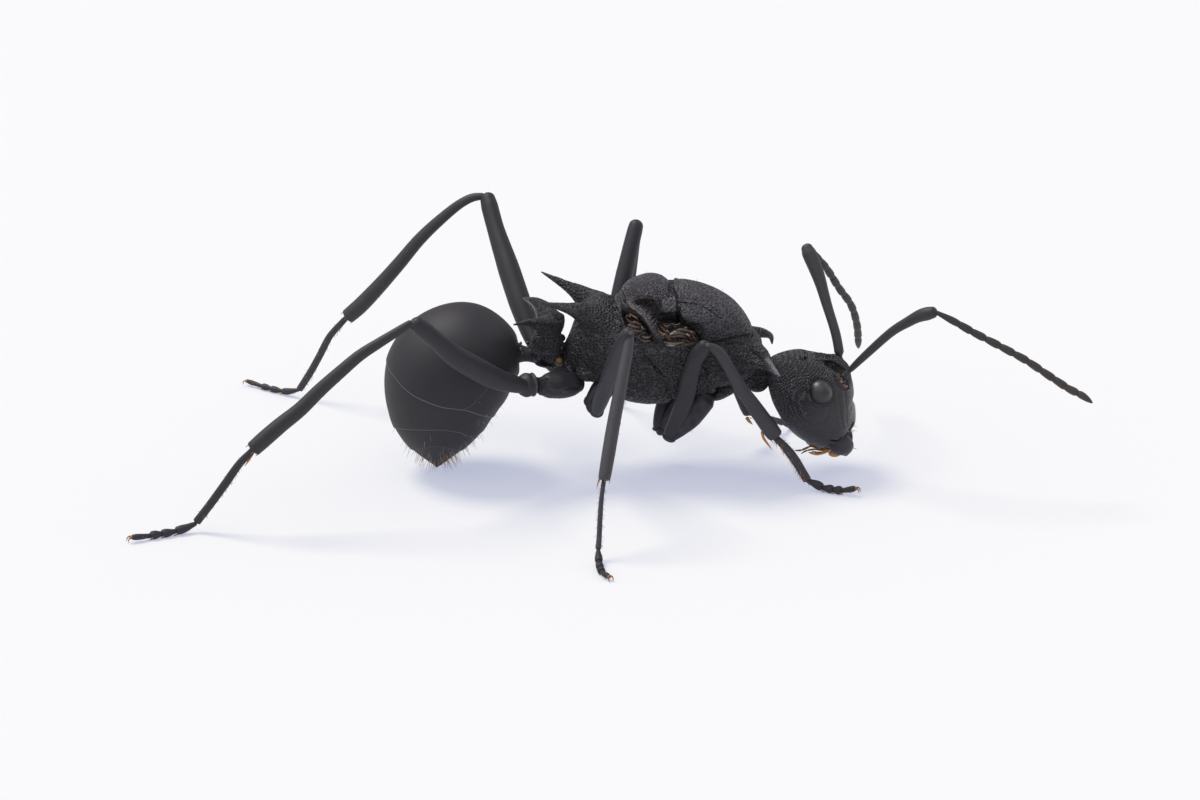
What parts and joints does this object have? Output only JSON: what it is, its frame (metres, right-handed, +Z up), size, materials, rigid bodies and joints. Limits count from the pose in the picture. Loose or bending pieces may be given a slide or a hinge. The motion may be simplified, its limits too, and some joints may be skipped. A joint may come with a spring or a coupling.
{
  "type": "spiny ant queen",
  "caption": "Life-size spiny black ant queen with shed wings, standing on its feet with feelers raised, for display.",
  "frame": {"origin": "middle of the ground rectangle that the ant covers, on the floor under its feet", "axes": "+X towards the head and along the body, +Y to the ant's left, +Z up"},
  "size_m": [0.0228, 0.0134, 0.0058],
  "materials": {
    "rough_shell": "matt charcoal black, finely wrinkled and granular",
    "gaster_shell": "smooth matt black with a soft sheen",
    "leg_shell": "smooth matt black, faintly blue-grey",
    "feeler": "smooth matt dark grey",
    "jaw": "smooth matt grey-black",
    "eye": "faceted, satin, dark grey",
    "mouth_amber": "satin amber",
    "wing_root": "broken rusty brown and pale edges"
  },
  "bodies": {
    "root": {"propodeum": "rough_shell", "scutum": "rough_shell", "scutellum": "rough_shell", "mesopleuron": "rough_shell", "pronotum": "rough_shell", "wing_stub_left": "wing_root", "wing_stub_right": "wing_root", "gaster_1": "gaster_shell", "gaster_2": "gaster_shell", "gaster_3": "gaster_shell", "gaster_4": "gaster_shell", "petiole": "rough_shell", "eye_left": "eye", "mandible_left": "jaw", "eye_right": "eye", "mandible_right": "jaw", "scape_right": "feeler", "funiculus_right": "feeler", "scape_left": "feeler", "funiculus_left": "feeler", "head": "rough_shell", "neck": "gaster_shell", "mouthparts": "mouth_amber", "coxa_front_right": "leg_shell", "femur_front_right": "leg_shell", "tibia_front_right": "leg_shell", "basitarsus_front_right": "leg_shell", "tarsus_front_right": "leg_shell", "coxa_front_left": "leg_shell", "femur_front_left": "leg_shell", "tibia_front_left": "leg_shell", "basitarsus_front_left": "leg_shell", "tarsus_front_left": "leg_shell", "coxa_middle_right": "leg_shell", "femur_middle_right": "leg_shell", "tibia_middle_right": "leg_shell", "basitarsus_middle_right": "leg_shell", "tarsus_middle_right": "leg_shell", "coxa_middle_left": "leg_shell", "femur_middle_left": "leg_shell", "tibia_middle_left": "leg_shell", "basitarsus_middle_left": "leg_shell", "tarsus_middle_left": "leg_shell", "coxa_hind_right": "leg_shell", "femur_hind_right": "leg_shell", "tibia_hind_right": "leg_shell", "basitarsus_hind_right": "leg_shell", "tarsus_hind_right": "leg_shell", "coxa_hind_left": "leg_shell", "femur_hind_left": "leg_shell", "tibia_hind_left": "leg_shell", "basitarsus_hind_left": "leg_shell", "tarsus_hind_left": "leg_shell"}
  },
  "joints": []
}
